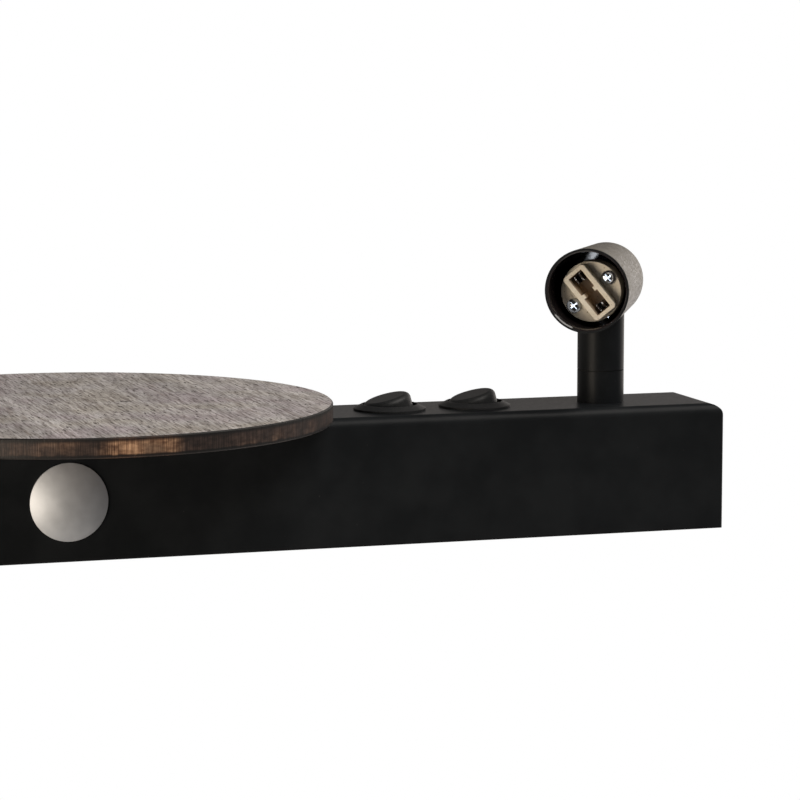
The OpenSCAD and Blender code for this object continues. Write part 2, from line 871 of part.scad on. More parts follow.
// Switches, drawn about the middle of their panel hole, with z = 0 on the panel
module switch_body() {
    snap = [2, 6, 4];
    snap_out = 0.7;
    snap_gap = 0.1;
    snap_x = barrel_r + snap_out - snap.x / 2;
    snap_z = -bar_wall - snap_gap - snap.z / 2;
    pin_hole_l = 2 * barrel_r + bezel_h;
    bezel_top_r = bezel_hole_r + bezel_rim;
    color(plastic)
        difference() {
            union() {
                rotate_extrude()
                    polygon([
                        [0, 0], [bezel_r, 0], [bezel_r, bezel_edge],
                        [bezel_top_r, bezel_h], [0, bezel_h]
                    ]);
                translate([0, 0, -barrel_l])
                    cylinder(h = barrel_l + cut, r = barrel_r);
                for (side = [-1, 1])
                    translate([side * snap_x, 0, snap_z])
                        cube(snap, center = true);
            }
            translate([0, 0, barrel_floor - barrel_l])
                cylinder(h = barrel_l + bezel_h, r = bezel_hole_r);
            translate([0, pin_hole_l / 2, -pivot_depth])
                rotate([90, 0, 0])
                    cylinder(h = pin_hole_l, r = pivot_d / 2 + run_fit);
            for (x = [0, side_blade_x])
                translate([x, 0, -barrel_l])
                    cube([blade_t, blade_w, 3 * barrel_floor], center = true);
        }
}

// Tilts what turns with the rocker about its pivot, at rest pressed down on the left
module at_pivot() {
    translate([0, 0, -pivot_depth])
        rotate([0, -rocker_tilt, 0])
            children();
}

module switch_rocker() {
    top = rocker_h + pivot_depth;
    pin_l = 2 * (barrel_r - clear);
    color(plastic)
        at_pivot()
            difference() {
                union() {
                    rotate_extrude() {
                        translate([0, -rocker_skirt])
                            square([rocker_r, top + rocker_skirt - rocker_round]);
                        translate([0, -rocker_skirt])
                            square([rocker_r - rocker_round, top + rocker_skirt]);
                        translate([rocker_r - rocker_round, top - rocker_round])
                            circle(rocker_round);
                    }
                    translate([0, pin_l / 2, 0])
                        rotate([90, 0, 0])
                            cylinder(h = pin_l, d = pivot_d);
                    translate([0, 0, -guide_drop])
                        cylinder(h = guide_drop, r = guide_r);
                }
                translate([0, 0, -guide_drop - cut])
                    cylinder(h = guide_drop - bore_top, r = plunger_d / 2 + run_fit);
            }
}

module switch_plunger() {
    tip = plunger_d / 2;
    color(brass)
        at_pivot() {
            translate([0, 0, -plunger_reach + tip])
                cylinder(h = plunger_reach - tip - plunger_top, d = plunger_d);
            intersection() {
                translate([0, 0, -plunger_reach + tip])
                    sphere(tip);
                translate([0, 0, -plunger_reach])
                    cylinder(h = tip + cut, d = 2 * plunger_d);
            }
        }
}

module switch_spring() {
    turns = 5;
    per_turn = 8;
    wire_r = 0.15;
    wire_sides = 6;
    coil_r = plunger_d / 2 - wire_r - 4 * run_fit;
    top = -bore_top - wire_r - run_fit;
    bottom = -plunger_top + wire_r + run_fit;
    helix = [
        for (k = [0:turns * per_turn])
            let (a = 360 * k / per_turn, t = k / (turns * per_turn))
            [coil_r * cos(a), coil_r * sin(a), bottom + t * (top - bottom)]
    ];
    color(zinc)
        at_pivot()
            swept_tube(helix, wire_r, wire_sides);
}

module switch_arm() {
    color(brass)
        translate([0, 0, arm_z])
            rotate([0, arm_tilt, 0]) {
                translate([-arm_l / 2, -arm_w / 2, 0])
                    cube([arm_l, arm_w, arm_t]);
                translate([0, arm_w / 2, 0])
                    rotate([90, 0, 0])
                        cylinder(h = arm_w, r = arm_rib_r);
            }
}

module switch_terminals() {
    color(brass)
        for (b = [[0, blade_top], [side_blade_x, side_blade_top]])
            translate([b[0] - blade_t / 2, -blade_w / 2, -barrel_l - blade_l])
                cube([blade_t, blade_w, barrel_l + blade_l + b[1]]);
}

// Swivel post, drawn about its axis, with z = 0 on top of the bar
module post_stub() {
    shank_l = bar_wall + nut_flange_t + stub_nut_t + shank_tip;
    color(black)
        difference() {
            union() {
                cylinder(h = stub_h, r = post_r);
                cylinder(h = spigot_top, r = spigot_r);
                translate([0, 0, -shank_l])
                    cylinder(h = shank_l + cut, d = shank_d);
            }
            translate([0, 0, -bar_h])
                cylinder(h = 2 * bar_h + spigot_top, d = lead_hole_d);
            translate([0, -stop_ring_r, stub_h - 2 * groove_h])
                cylinder(h = stub_h, r = stop_pin_d / 2 + thread_fit);
            translate([0, 0, circlip_z])
                ring(post_r, spigot_r - circlip_groove, circlip_t);
        }
}

module stub_nut() {
    color(zinc)
        translate([0, 0, -bar_wall])
            mirror([0, 0, 1]) {
                ring(nut_flange_d / 2, shank_d / 2 + thread_fit, nut_flange_t);
                translate([0, 0, nut_flange_t])
                    hex_nut(stub_nut_af, stub_nut_t, shank_d / 2 + thread_fit);
            }
}

module swivel_washer() {
    color(rubber)
        translate([0, 0, stub_h])
            difference() {
                ring(post_r - clear, spigot_r + 2 * clear, washer_t - run_fit);
                translate([0, -stop_ring_r, -cut])
                    cylinder(h = washer_t, r = stop_pin_d / 2 + thread_fit);
            }
}

module stop_pin() {
    color(zinc)
        translate([0, -stop_ring_r, stub_h - 2 * groove_h])
            cylinder(h = 3 * groove_h + washer_t - tip_gap, d = stop_pin_d);
}

module circlip() {
    opening = 40;
    color(zinc)
        translate([0, 0, circlip_z])
            rotate(opening / 2)
                rotate_extrude(angle = 360 - opening)
                    translate([spigot_r - circlip_groove + thread_fit, 0])
                        square([circlip_w, circlip_t - thread_fit]);
}

module post() {
    color(black)
        difference() {
            translate([0, 0, post_bottom])
                cylinder(h = head_axis - post_bottom, r = post_r);
            translate([0, 0, post_bottom - cut])
                cylinder(h = land_h + 2 * cut, r = spigot_r + run_fit);
            translate([0, 0, land_top])
                cylinder(h = head_axis, r = chamber_r);
            stop_groove();
            at_head()
                head_outside(thread_fit);
        }
}

// Ring groove for the stop pin, with one lug left standing behind the head
module stop_groove() {
    lug = 1.2 * groove_r;
    difference() {
        translate([0, 0, post_bottom - cut])
            cylinder(h = groove_h + cut, r = groove_r);
        rotate(-head_turn)
            translate([0, 0, post_bottom - groove_h])
                linear_extrude(3 * groove_h)
                    polygon([
                        [0, 0],
                        lug * [sin(lug_angle), cos(lug_angle)],
                        lug * [-sin(lug_angle), cos(lug_angle)]
                    ]);
    }
}

module head_plug() {
    color(zinc)
        difference() {
            union() {
                translate([0, 0, plug_bottom])
                    cylinder(h = plug_l, r = chamber_r - thread_fit);
                translate([0, 0, plug_bottom])
                    cylinder(h = nipple_top - plug_bottom, r = nipple_r);
            }
            translate([0, 0, plug_bottom - cut])
                cylinder(h = nipple_top, d = lead_hole_d);
        }
}

module head_nut() {
    color(zinc)
        translate([0, 0, head_axis + nut_y])
            hex_nut(head_nut_af, head_nut_t, nipple_r + thread_fit);
}

// Head, drawn along its own axis with the mouth towards +z and y up
module at_holder() {
    at_head()
        translate([0, -holder_drop, 0])
            children();
}

module head_outside(fit) {
    edge = 1;
    rotate_extrude()
        polygon([
            [0, -head_back - fit],
            [head_r(-head_back) - edge + fit, -head_back - fit],
            [head_r(edge - head_back) + fit, edge - head_back],
            [head_r(head_reach) + fit, head_reach],
            [0, head_reach]
        ]);
}

module head_tube() {
    lip = 0.4;
    rim_r = head_r(head_reach) - head_wall;
    color(black)
        at_head()
            difference() {
                head_outside(0);
                rotate_extrude()
                    polygon([
                        [0, head_wall - head_back],
                        [head_r(head_wall - head_back) - head_wall, head_wall - head_back],
                        [rim_r, head_reach],
                        [0, head_reach]
                    ]);
                translate([0, 0, head_reach - lip])
                    cylinder(h = lip + cut, r1 = rim_r, r2 = rim_r + lip);
                rotate([90, 0, 0])
                    cylinder(h = 2 * holder_d, r = nipple_r + thread_fit);
            }
}

module holder_bracket() {
    plate_inset = 0.6;
    plate_r = holder_r - plate_inset;
    plate_back = base_back - bracket_t;
    color(zinc)
        difference() {
            union() {
                at_holder()
                    translate([0, 0, plate_back])
                        cylinder(h = bracket_t, r = plate_r);
                at_head() {
                    translate([-foot_w / 2, foot_y, plate_back])
                        cube([foot_w, -foot_y, bracket_t]);
                    translate([-foot_w / 2, foot_y, foot_back])
                        cube([foot_w, bracket_t, base_back - foot_back]);
                }
            }
            at_head() {
                rotate([90, 0, 0])
                    cylinder(h = 2 * holder_d, r = nipple_r + thread_fit);
                translate([0, head_lead_y, plate_back - cut])
                    cylinder(h = bracket_t + 2 * cut, d = lead_hole_d);
            }
            at_holder()
                at_holder_screws(plate_back - cut)
                    cylinder(h = bracket_t + 2 * cut, r = holder_screw_d / 2 + thread_fit);
        }
}

module at_holder_screws(z) {
    rotate(-nose_turn)
        for (side = [-1, 1])
            translate([0, side * holder_screw_span / 2, z])
                children();
}

module lamp_holder() {
    tooth_l = 1.6;
    tooth_h = 0.8;
    nose_corner_r = 1.2;
    color(ceramic)
        at_holder()
            difference() {
                union() {
                    translate([0, 0, base_back])
                        cylinder(h = holder_t, r = holder_r);
                    rotate(-nose_turn)
                        translate([0, 0, base_face - cut])
                            linear_extrude(nose_h + cut)
                                round_rect(
                                    -[nose_l, nose_w] / 2, [nose_l, nose_w] / 2,
                                    nose_corner_r, nose_corner_r
                                );
                }
                rotate(-nose_turn)
                    translate([0, 0, base_face + nose_h - slot_z])
                        linear_extrude(slot_z + cut)
                            difference() {
                                square([slot_x, slot_y], center = true);
                                for (side = [-1, 1])
                                    translate([0, side * slot_y / 2])
                                        square([tooth_l, 2 * tooth_h], center = true);
                            }
                at_holder_screws(base_back - cut)
                    cylinder(h = holder_t + 2 * cut, r = holder_screw_d / 2 + hole_fit);
            }
}

// Two sprung clips, one at each end of the lamp slot
module holder_contacts() {
    strip = 0.5;
    clip_w = 2.4;
    clip_gap = 1.4;
    clip_inset = 0.5;
    clip_depth = 1.2;
    clip_l = slot_z - clip_depth;
    clip_x = slot_x / 2 - clip_inset - clip_w / 2;
    color(zinc)
        at_holder()
            rotate(-nose_turn)
                for (side = [-1, 1])
                    translate([side * clip_x, 0, base_face + nose_h - slot_z]) {
                        for (leaf = [-1, 1])
                            translate([0, leaf * (clip_gap + strip) / 2, clip_l / 2])
                                cube([clip_w, strip, clip_l], center = true);
                        translate([0, 0, strip / 2])
                            cube([clip_w, clip_gap + 2 * strip, strip], center = true);
                    }
}

module holder_screws() {
    color(zinc)
        at_holder()
            at_holder_screws(base_face)
                pan_screw(holder_screw_head_d, holder_screw_d, holder_t + bracket_t);
}

// Leads, each on a smooth route
module head_lead() {
    start_y = spigot_top + clear - head_axis;
    color(rubber)
        at_head()
            swept_tube(
                spline([
                    [0, start_y, 0],
                    [0, nut_y, 0],
                    [0, nut_y + lead_bend, 0.05 * lead_bend],
                    [0, 0.2 * lead_bend, base_back / 5],
                    [0, head_lead_y, base_back / 2],
                    [0, head_lead_y, base_back - contact_gap]
                ], lead_steps),
                head_lead_r, lead_sides
            );
}

// Lead from the terminal block through the stem to the inner switch
module supply_lead() {
    wall_end = -canopy_d + canopy_wall;
    by_bridge = bridge_face - lead_r - lead_gap;
    lane = bar_y + lead_bend / 2;
    color(rubber)
        swept_tube(
            spline([
                [block_x - block_w / 2 - clear, insert_y, pole_z[0]],
                [bridge_l / 2 - lead_r, by_bridge, (pole_z[0] + wire_z) / 2],
                [2 * lead_bend, nut_front + lead_r + lead_gap, wire_z],
                [lead_bend, nut_front - lead_r, wire_z],
                [lead_bend / 4, (nut_front - lead_r + wall_end) / 2, wire_z],
                [0, wall_end, wire_z],
                [0, -canopy_d - lead_bend / 2, wire_z],
                [0, bar_back + lead_bend / 2, wire_z],
                [0, bar_back - lead_bend / 2, wire_z],
                [lead_bend / 3, bar_back - 1.5 * lead_bend, wire_z],
                [2 * lead_bend, bar_back - 2 * lead_bend, lead_z],
                [4 * lead_bend, lane, lead_z],
                [inner_switch_x - 3 * lead_bend, lane, lead_z],
                [inner_switch_x - lead_bend / 2, bar_y + lead_bend / 6, lead_z + lead_bend / 2],
                [inner_switch_x, bar_y, blade_end - lead_bend],
                [inner_switch_x, bar_y, blade_end - clear]
            ], lead_steps),
            lead_r, lead_sides
        );
}

// Lead from a post on the right (1) or left (-1) to the side blade of a switch
module post_lead(side, switch_x, y) {
    x = side * post_x;
    end_x = switch_x + side_blade_x;
    color(rubber)
        swept_tube(
            spline([
                [x, bar_y, bar_top + spigot_top],
                [x, bar_y, bar_top],
                [x, bar_y, lead_z + 3 * lead_bend],
                [x - side * lead_bend, y, lead_z + lead_bend],
                [x - side * 3 * lead_bend, y, lead_z],
                [end_x + side * 3 * lead_bend, y, lead_z],
                [end_x + side * lead_bend, (y + bar_y) / 2, lead_z + lead_bend / 2],
                [end_x, bar_y, blade_end - lead_bend],
                [end_x, bar_y, blade_end - clear]
            ], lead_steps),
            lead_r, lead_sides
        );
}

wall_strap();
stem_rod();
rod_nuts();
canopy();
stem_tube();
wire_grommets();
terminal_block();
terminal_inserts();
terminal_screws();
block_screw();
earth_screw();
bar_shell();
cover_plate();
cover_screws();
cap_nut();
shelf_board();
shelf_screws();
supply_lead();
post_lead(1, outer_switch_x, bar_y);  // right_lead
post_lead(-1, inner_switch_x, bar_y - left_lead_shift);  // left_lead
at_switch(inner_switch_x) switch_body();  // inner_switch_body
at_switch(inner_switch_x) switch_rocker();  // inner_switch_rocker
at_switch(inner_switch_x) switch_plunger();  // inner_switch_plunger
at_switch(inner_switch_x) switch_spring();  // inner_switch_spring
at_switch(inner_switch_x) switch_arm();  // inner_switch_arm
at_switch(inner_switch_x) switch_terminals();  // inner_switch_terminals
at_switch(outer_switch_x) switch_body();  // outer_switch_body
at_switch(outer_switch_x) switch_rocker();  // outer_switch_rocker
at_switch(outer_switch_x) switch_plunger();  // outer_switch_plunger
at_switch(outer_switch_x) switch_spring();  // outer_switch_spring
at_switch(outer_switch_x) switch_arm();  // outer_switch_arm
at_switch(outer_switch_x) switch_terminals();  // outer_switch_terminals
at_post(1) post_stub();  // right_post_stub
at_post(1) stub_nut();  // right_stub_nut
at_post(1) swivel_washer();  // right_swivel_washer
at_post(1) stop_pin();  // right_stop_pin
at_post(1) circlip();  // right_circlip
at_post(1) post();  // right_post
at_post(1) head_plug();  // right_head_plug
at_post(1) head_nut();  // right_head_nut
at_post(1) head_tube();  // right_head_tube
at_post(1) holder_bracket();  // right_holder_bracket
at_post(1) lamp_holder();  // right_lamp_holder
at_post(1) holder_contacts();  // right_holder_contacts
at_post(1) holder_screws();  // right_holder_screws
at_post(1) head_lead();  // right_head_lead
at_post(-1) post_stub();  // left_post_stub
at_post(-1) stub_nut();  // left_stub_nut
at_post(-1) swivel_washer();  // left_swivel_washer
at_post(-1) stop_pin();  // left_stop_pin
at_post(-1) circlip();  // left_circlip
at_post(-1) post();  // left_post
at_post(-1) head_plug();  // left_head_plug
at_post(-1) head_nut();  // left_head_nut
at_post(-1) head_tube();  // left_head_tube
at_post(-1) holder_bracket();  // left_holder_bracket
at_post(-1) lamp_holder();  // left_lamp_holder
at_post(-1) holder_contacts();  // left_holder_contacts
at_post(-1) holder_screws();  // left_holder_screws
at_post(-1) head_lead();  // left_head_lead
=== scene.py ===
"""Wall lamp with a round shelf: finishes, leads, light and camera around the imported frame."""
import math

import bmesh
import bpy
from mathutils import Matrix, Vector


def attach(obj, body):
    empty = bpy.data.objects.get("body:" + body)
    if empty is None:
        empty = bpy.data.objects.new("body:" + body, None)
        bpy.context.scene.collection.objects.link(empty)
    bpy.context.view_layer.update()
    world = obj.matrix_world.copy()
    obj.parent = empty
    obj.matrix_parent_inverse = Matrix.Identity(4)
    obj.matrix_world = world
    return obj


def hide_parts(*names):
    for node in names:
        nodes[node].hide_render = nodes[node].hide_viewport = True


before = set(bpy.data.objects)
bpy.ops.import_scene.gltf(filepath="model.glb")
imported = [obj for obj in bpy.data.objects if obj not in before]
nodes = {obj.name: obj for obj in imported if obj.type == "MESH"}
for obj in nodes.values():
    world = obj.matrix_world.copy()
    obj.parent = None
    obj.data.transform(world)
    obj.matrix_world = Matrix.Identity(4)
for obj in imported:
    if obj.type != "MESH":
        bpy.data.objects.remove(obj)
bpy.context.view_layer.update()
MM = 0.001

# Places that the finishes and the leads need, in millimetres, as in the part's source
BAR_Y = -85
BAR_TOP = 22
SHELF_THICK = 6
POST_X = 178.15
HEAD_AXIS_Z = 60.472
HEAD_TURN = math.radians(29)
HEAD_MOUTH_R = 13.27
HEAD_DRAFT = math.tan(math.radians(1.6))
HEAD_REACH = 32
HEAD_BACK = 13
HEAD_WALL = 1.0
HOLDER_DROP = 1
NOSE_TOP = 26.3
NOSE_TURN = math.radians(50)
LAMP_SLOT = (14.4, 4.9)

# Painted highlight on the shelf's edge where the front light falls: its centre along X and its
# reach, in millimetres
PAINTED_HIGHLIGHT_X = 5
PAINTED_HIGHLIGHT_REACH = 20


def linear(code):
    """An sRGB hex colour as linear red, green, blue and alpha."""
    parts = [int(code[i:i + 2], 16) / 255 for i in (1, 3, 5)]
    return [p / 12.92 if p <= 0.04045 else ((p + 0.055) / 1.055) ** 2.4 for p in parts] + [1]


def add(tree, kind, links, stops=(), **settings):
    """Adds a shader node with its settings and ramp stops.
    links gives each socket a value, or the node or socket that feeds it."""
    made = tree.nodes.new("ShaderNode" + kind)
    for key, value in settings.items():
        setattr(made, key, value)
    for i, (position, code) in enumerate(stops):
        ramp = made.color_ramp.elements
        point = ramp[i] if i < 2 else ramp.new(position)
        point.position = position
        point.color = linear(code)
    for key, value in links.items():
        if isinstance(value, bpy.types.Node):
            value = value.outputs[0]
        if isinstance(value, bpy.types.NodeSocket):
            tree.links.new(value, made.inputs[key])
        else:
            made.inputs[key].default_value = value
    return made


def begin(name):
    """A new, empty material, its node tree and the object's own coordinates."""
    material = bpy.data.materials.new(name)
    material.use_nodes = True
    tree = material.node_tree
    tree.nodes.clear()
    coords = add(tree, "TexCoord", {})
    return material, tree, coords.outputs["Object"]


def per(size):
    """Pattern scale that gives features of a size in millimetres."""
    return 1 / (size * MM)


def matt_paint():
    """Matt black paint on sheet steel: dark straight on, a soft sheen at low angles,
    faint peel and a little dust."""
    material, tree, place = begin("matt_black_paint")
    peel = add(tree, "TexNoise", {"Vector": place, "Scale": per(1.2), "Detail": 3.0})
    cloud = add(tree, "TexNoise", {"Vector": place, "Scale": per(14), "Detail": 3.0})
    dust = add(tree, "TexNoise", {"Vector": place, "Scale": per(1.2), "Detail": 1.0})
    tone = add(tree, "ValToRGB", {"Fac": cloud}, stops=[(0.35, "#191b1d"), (0.65, "#1f2123")])
    specks = add(tree, "ValToRGB", {"Fac": dust}, stops=[(0.79, "#000000"), (0.84, "#262524")])
    colour = add(tree, "VectorMath", {0: tone, 1: specks}, operation="ADD")
    rough = add(tree, "MapRange", {"Value": peel, "To Min": 0.28, "To Max": 0.40})
    bump = add(tree, "Bump", {"Height": peel, "Distance": 0.012 * MM})
    paint = add(tree, "BsdfPrincipled", {
        "Base Color": colour, "Roughness": rough, "Normal": bump, "IOR": 1.15})
    add(tree, "OutputMaterial", {"Surface": paint})
    return material


def structured_coat():
    """Structured powder coat on the heads, its warm grey partly a painted sheen: a dull, gritty
    skin that glitters at low angles. Its 0.3 mm grit is drawn at 0.8 mm so that it shows."""
    material, tree, place = begin("structured_coat_painted_sheen")
    grit = add(tree, "TexNoise", {"Vector": place, "Scale": per(0.8), "Detail": 2.0})
    cloud = add(tree, "TexNoise", {"Vector": place, "Scale": per(6), "Detail": 2.0})
    # The tones vary with the coat's grit; their warm grey level is painted sheen, lighter than the
    # coat, for its glitter at low angles
    tone = add(tree, "ValToRGB", {"Fac": grit}, stops=[(0.38, "#454139"), (0.62, "#696459")])
    shade = add(tree, "ValToRGB", {"Fac": cloud}, stops=[(0.3, "#d8d6d2"), (0.7, "#ffffff")])
    colour = add(tree, "VectorMath", {0: tone, 1: shade}, operation="MULTIPLY")
    rough = add(tree, "MapRange", {
        "Value": grit, "From Min": 0.3, "From Max": 0.7, "To Min": 0.22, "To Max": 0.66})
    bump = add(tree, "Bump", {"Height": grit, "Distance": 0.2 * MM})
    coat = add(tree, "BsdfPrincipled", {
        "Base Color": colour, "Roughness": rough, "Normal": bump, "IOR": 1.5})
    add(tree, "OutputMaterial", {"Surface": coat})
    return material


def gloss_lacquer():
    """Black stoving lacquer inside the heads and on their inner lips: deep gloss, slight waves."""
    material, tree, place = begin("black_gloss_lacquer")
    wave = add(tree, "TexNoise", {"Vector": place, "Scale": per(5), "Detail": 2.0})
    tone = add(tree, "ValToRGB", {"Fac": wave}, stops=[(0.3, "#1c1819"), (0.7, "#282324")])
    rough = add(tree, "MapRange", {"Value": wave, "To Min": 0.05, "To Max": 0.12})
    bump = add(tree, "Bump", {"Height": wave, "Distance": 0.02 * MM})
    lacquer = add(tree, "BsdfPrincipled", {
        "Base Color": tone, "Roughness": rough, "Normal": bump, "IOR": 1.6})
    add(tree, "OutputMaterial", {"Surface": lacquer})
    return material


def stained_plywood():
    """Plywood with a grey-stained oak face, its open pores running front to back,
    and a brown edge with saw marks between dark glue lines, with a painted highlight on it."""
    material, tree, place = begin("stained_oak_plywood")
    # Size of each stretched pattern along X, Y and Z, in millimetres
    sizes = {"bands": (8, 90, 30), "fibres": (0.6, 14, 5), "pores": (0.42, 6, 4),
             "streaks": (1.3, 22, 8), "teeth": (0.36, 0.36, 9), "flakes": (3, 3, 1.4)}
    spread = {name: add(tree, "Mapping", {"Vector": place, "Scale": [per(s) for s in size]})
              for name, size in sizes.items()}

    # Face: broad growth bands, fine fibres, short dark pores and a few pale streaks
    bands = add(tree, "TexNoise", {"Vector": spread["bands"], "Scale": 1.0, "Detail": 3.0})
    fibres = add(tree, "TexNoise", {
        "Vector": spread["fibres"], "Scale": 1.0, "Detail": 3.0, "Roughness": 0.65})
    pores = add(tree, "TexNoise", {"Vector": spread["pores"], "Scale": 1.0, "Detail": 1.0})
    streaks = add(tree, "TexNoise", {"Vector": spread["streaks"], "Scale": 1.0, "Detail": 2.0})
    stain = add(tree, "TexNoise", {"Vector": place, "Scale": per(28), "Detail": 2.0})
    tone = add(tree, "ValToRGB", {"Fac": bands}, stops=[
        (0.30, "#b3b1b1"), (0.5, "#c6c4c4"), (0.70, "#d8d6d5")])
    blotch = add(tree, "ValToRGB", {"Fac": stain}, stops=[
        (0.36, "#f1e9ed"), (0.5, "#fffdfc"), (0.64, "#f4f0e8")])
    fibre = add(tree, "ValToRGB", {"Fac": fibres}, stops=[(0.34, "#a49c98"), (0.62, "#ffffff")])
    pore = add(tree, "ValToRGB", {"Fac": pores}, stops=[(0.32, "#4e443e"), (0.41, "#ffffff")])
    pale = add(tree, "ValToRGB", {"Fac": streaks}, stops=[(0.60, "#000000"), (0.72, "#4c463f")])
    face = add(tree, "VectorMath", {0: tone, 1: blotch}, operation="MULTIPLY")
    face = add(tree, "VectorMath", {0: face, 1: fibre}, operation="MULTIPLY")
    face = add(tree, "VectorMath", {0: face, 1: pore}, operation="MULTIPLY")
    face = add(tree, "VectorMath", {0: face, 1: pale}, operation="ADD")

    # Edge: sawn brown core with fine upright tooth marks, and a painted highlight: a lighter
    # stretch by the cap where the front light falls
    teeth = add(tree, "TexNoise", {"Vector": spread["teeth"], "Scale": 1.0, "Detail": 1.0})
    flakes = add(tree, "TexNoise", {"Vector": spread["flakes"], "Scale": 1.0, "Detail": 3.0})
    patch = add(tree, "TexNoise", {"Vector": place, "Scale": per(12), "Detail": 2.0})
    point = add(tree, "SeparateXYZ", {0: place})
    # Painted highlight: the edge is lighter towards its centre along X, fading out over its reach
    off = add(tree, "Math", {0: point.outputs["X"], 1: PAINTED_HIGHLIGHT_X * MM}, operation="SUBTRACT")
    off = add(tree, "Math", {0: off}, operation="ABSOLUTE")
    near = add(tree, "MapRange", {
        "Value": off, "From Max": PAINTED_HIGHLIGHT_REACH * MM, "To Min": 0.34, "To Max": 0.0})
    patch_and_highlight = add(tree, "Math", {0: patch, 1: near}, operation="ADD")
    core = add(tree, "ValToRGB", {"Fac": patch_and_highlight}, stops=[
        (0.40, "#382c27"), (0.56, "#4e3d34"), (0.72, "#826853"), (0.84, "#bc9675")])
    flake = add(tree, "ValToRGB", {"Fac": flakes}, stops=[(0.34, "#9a8d88"), (0.66, "#ffffff")])
    tooth = add(tree, "ValToRGB", {"Fac": teeth}, stops=[(0.36, "#a89b94"), (0.62, "#ffffff")])
    core = add(tree, "VectorMath", {0: core, 1: flake}, operation="MULTIPLY")
    core = add(tree, "VectorMath", {0: core, 1: tooth}, operation="MULTIPLY")

    # Dark glue lines near the edge's bottom and top, a little ragged
    rise = add(tree, "MapRange", {
        "Value": point.outputs["Z"], "From Min": BAR_TOP * MM,
        "From Max": (BAR_TOP + SHELF_THICK) * MM})
    ragged = add(tree, "Math", {0: flakes, 1: 0.12, 2: rise}, operation="MULTIPLY_ADD")
    plies = add(tree, "ValToRGB", {"Fac": ragged}, stops=[
        (0.05, "#a59a90"), (0.13, "#3d322c"), (0.20, "#433730"), (0.28, "#ffffff"),
        (0.80, "#ffffff"), (0.92, "#54473f"), (1.0, "#574a42")])
    edge = add(tree, "VectorMath", {0: core, 1: plies}, operation="MULTIPLY")

    # Level faces show the veneer, steeper ones the edge
    facing = add(tree, "TexCoord", {}).outputs["Normal"]
    upright = add(tree, "SeparateXYZ", {0: facing}).outputs["Z"]
    upright = add(tree, "Math", {0: upright}, operation="ABSOLUTE")
    level = add(tree, "Math", {0: upright, 1: 0.8}, operation="GREATER_THAN")
    colour = add(tree, "Mix", {0: level, 6: edge, 7: face}, data_type="RGBA").outputs[2]
    rough = add(tree, "MapRange", {"Value": fibres, "To Min": 0.5, "To Max": 0.72})
    pits = add(tree, "MapRange", {"Value": pores, "From Min": 0.3, "From Max": 0.42})
    dents = add(tree, "Math", {0: pits, 1: teeth}, operation="MULTIPLY")
    bump = add(tree, "Bump", {"Height": dents, "Distance": 0.06 * MM})
    wood = add(tree, "BsdfPrincipled", {
        "Base Color": colour, "Roughness": rough, "Normal": bump, "IOR": 1.45})
    add(tree, "OutputMaterial", {"Surface": wood})
    return material


def satin_nickel():
    """Satin nickel plate on turned brass: a soft, even sheen with a trace of haze."""
    material, tree, place = begin("satin_nickel")
    haze = add(tree, "TexNoise", {"Vector": place, "Scale": per(4), "Detail": 2.0})
    tone = add(tree, "ValToRGB", {"Fac": haze}, stops=[(0.3, "#c4c7cb"), (0.7, "#cfd2d6")])
    rough = add(tree, "MapRange", {"Value": haze, "To Min": 0.62, "To Max": 0.70})
    metal = add(tree, "BsdfPrincipled", {"Base Color": tone, "Roughness": rough, "Metallic": 1.0})
    add(tree, "OutputMaterial", {"Surface": metal})
    return material


def zinc_plate():
    """Bright zinc-plated steel: bluish grey with a cloudy sheen."""
    material, tree, place = begin("zinc_plated_steel")
    cloud = add(tree, "TexNoise", {"Vector": place, "Scale": per(1.5), "Detail": 3.0})
    tone = add(tree, "ValToRGB", {"Fac": cloud}, stops=[(0.3, "#b4bcc6"), (0.7, "#dde3ea")])
    rough = add(tree, "MapRange", {"Value": cloud, "To Min": 0.12, "To Max": 0.26})
    metal = add(tree, "BsdfPrincipled", {"Base Color": tone, "Roughness": rough, "Metallic": 1.0})
    add(tree, "OutputMaterial", {"Surface": metal})
    return material


def brass():
    """Stamped and turned brass: warm yellow with faint tarnish."""
    material, tree, place = begin("brass")
    stain = add(tree, "TexNoise", {"Vector": place, "Scale": per(2), "Detail": 3.0})
    tone = add(tree, "ValToRGB", {"Fac": stain}, stops=[(0.3, "#a8843c"), (0.7, "#d2ac5c")])
    rough = add(tree, "MapRange", {"Value": stain, "To Min": 0.25, "To Max": 0.42})
    metal = add(tree, "BsdfPrincipled", {"Base Color": tone, "Roughness": rough, "Metallic": 1.0})
    add(tree, "OutputMaterial", {"Surface": metal})
    return material


def spring_steel():
    """Heat-tinted spring steel of the lamp clips: dull grey-brown with small bright rubs."""
    material, tree, place = begin("spring_steel")
    rub = add(tree, "TexNoise", {"Vector": place, "Scale": per(0.8), "Detail": 2.0})
    tone = add(tree, "ValToRGB", {"Fac": rub}, stops=[(0.52, "#2b2622"), (0.64, "#b9b7b2")])
    rough = add(tree, "MapRange", {"Value": rub, "To Min": 0.45, "To Max": 0.20})
    metal = add(tree, "BsdfPrincipled", {"Base Color": tone, "Roughness": rough, "Metallic": 1.0})
    add(tree, "OutputMaterial", {"Surface": metal})
    return material


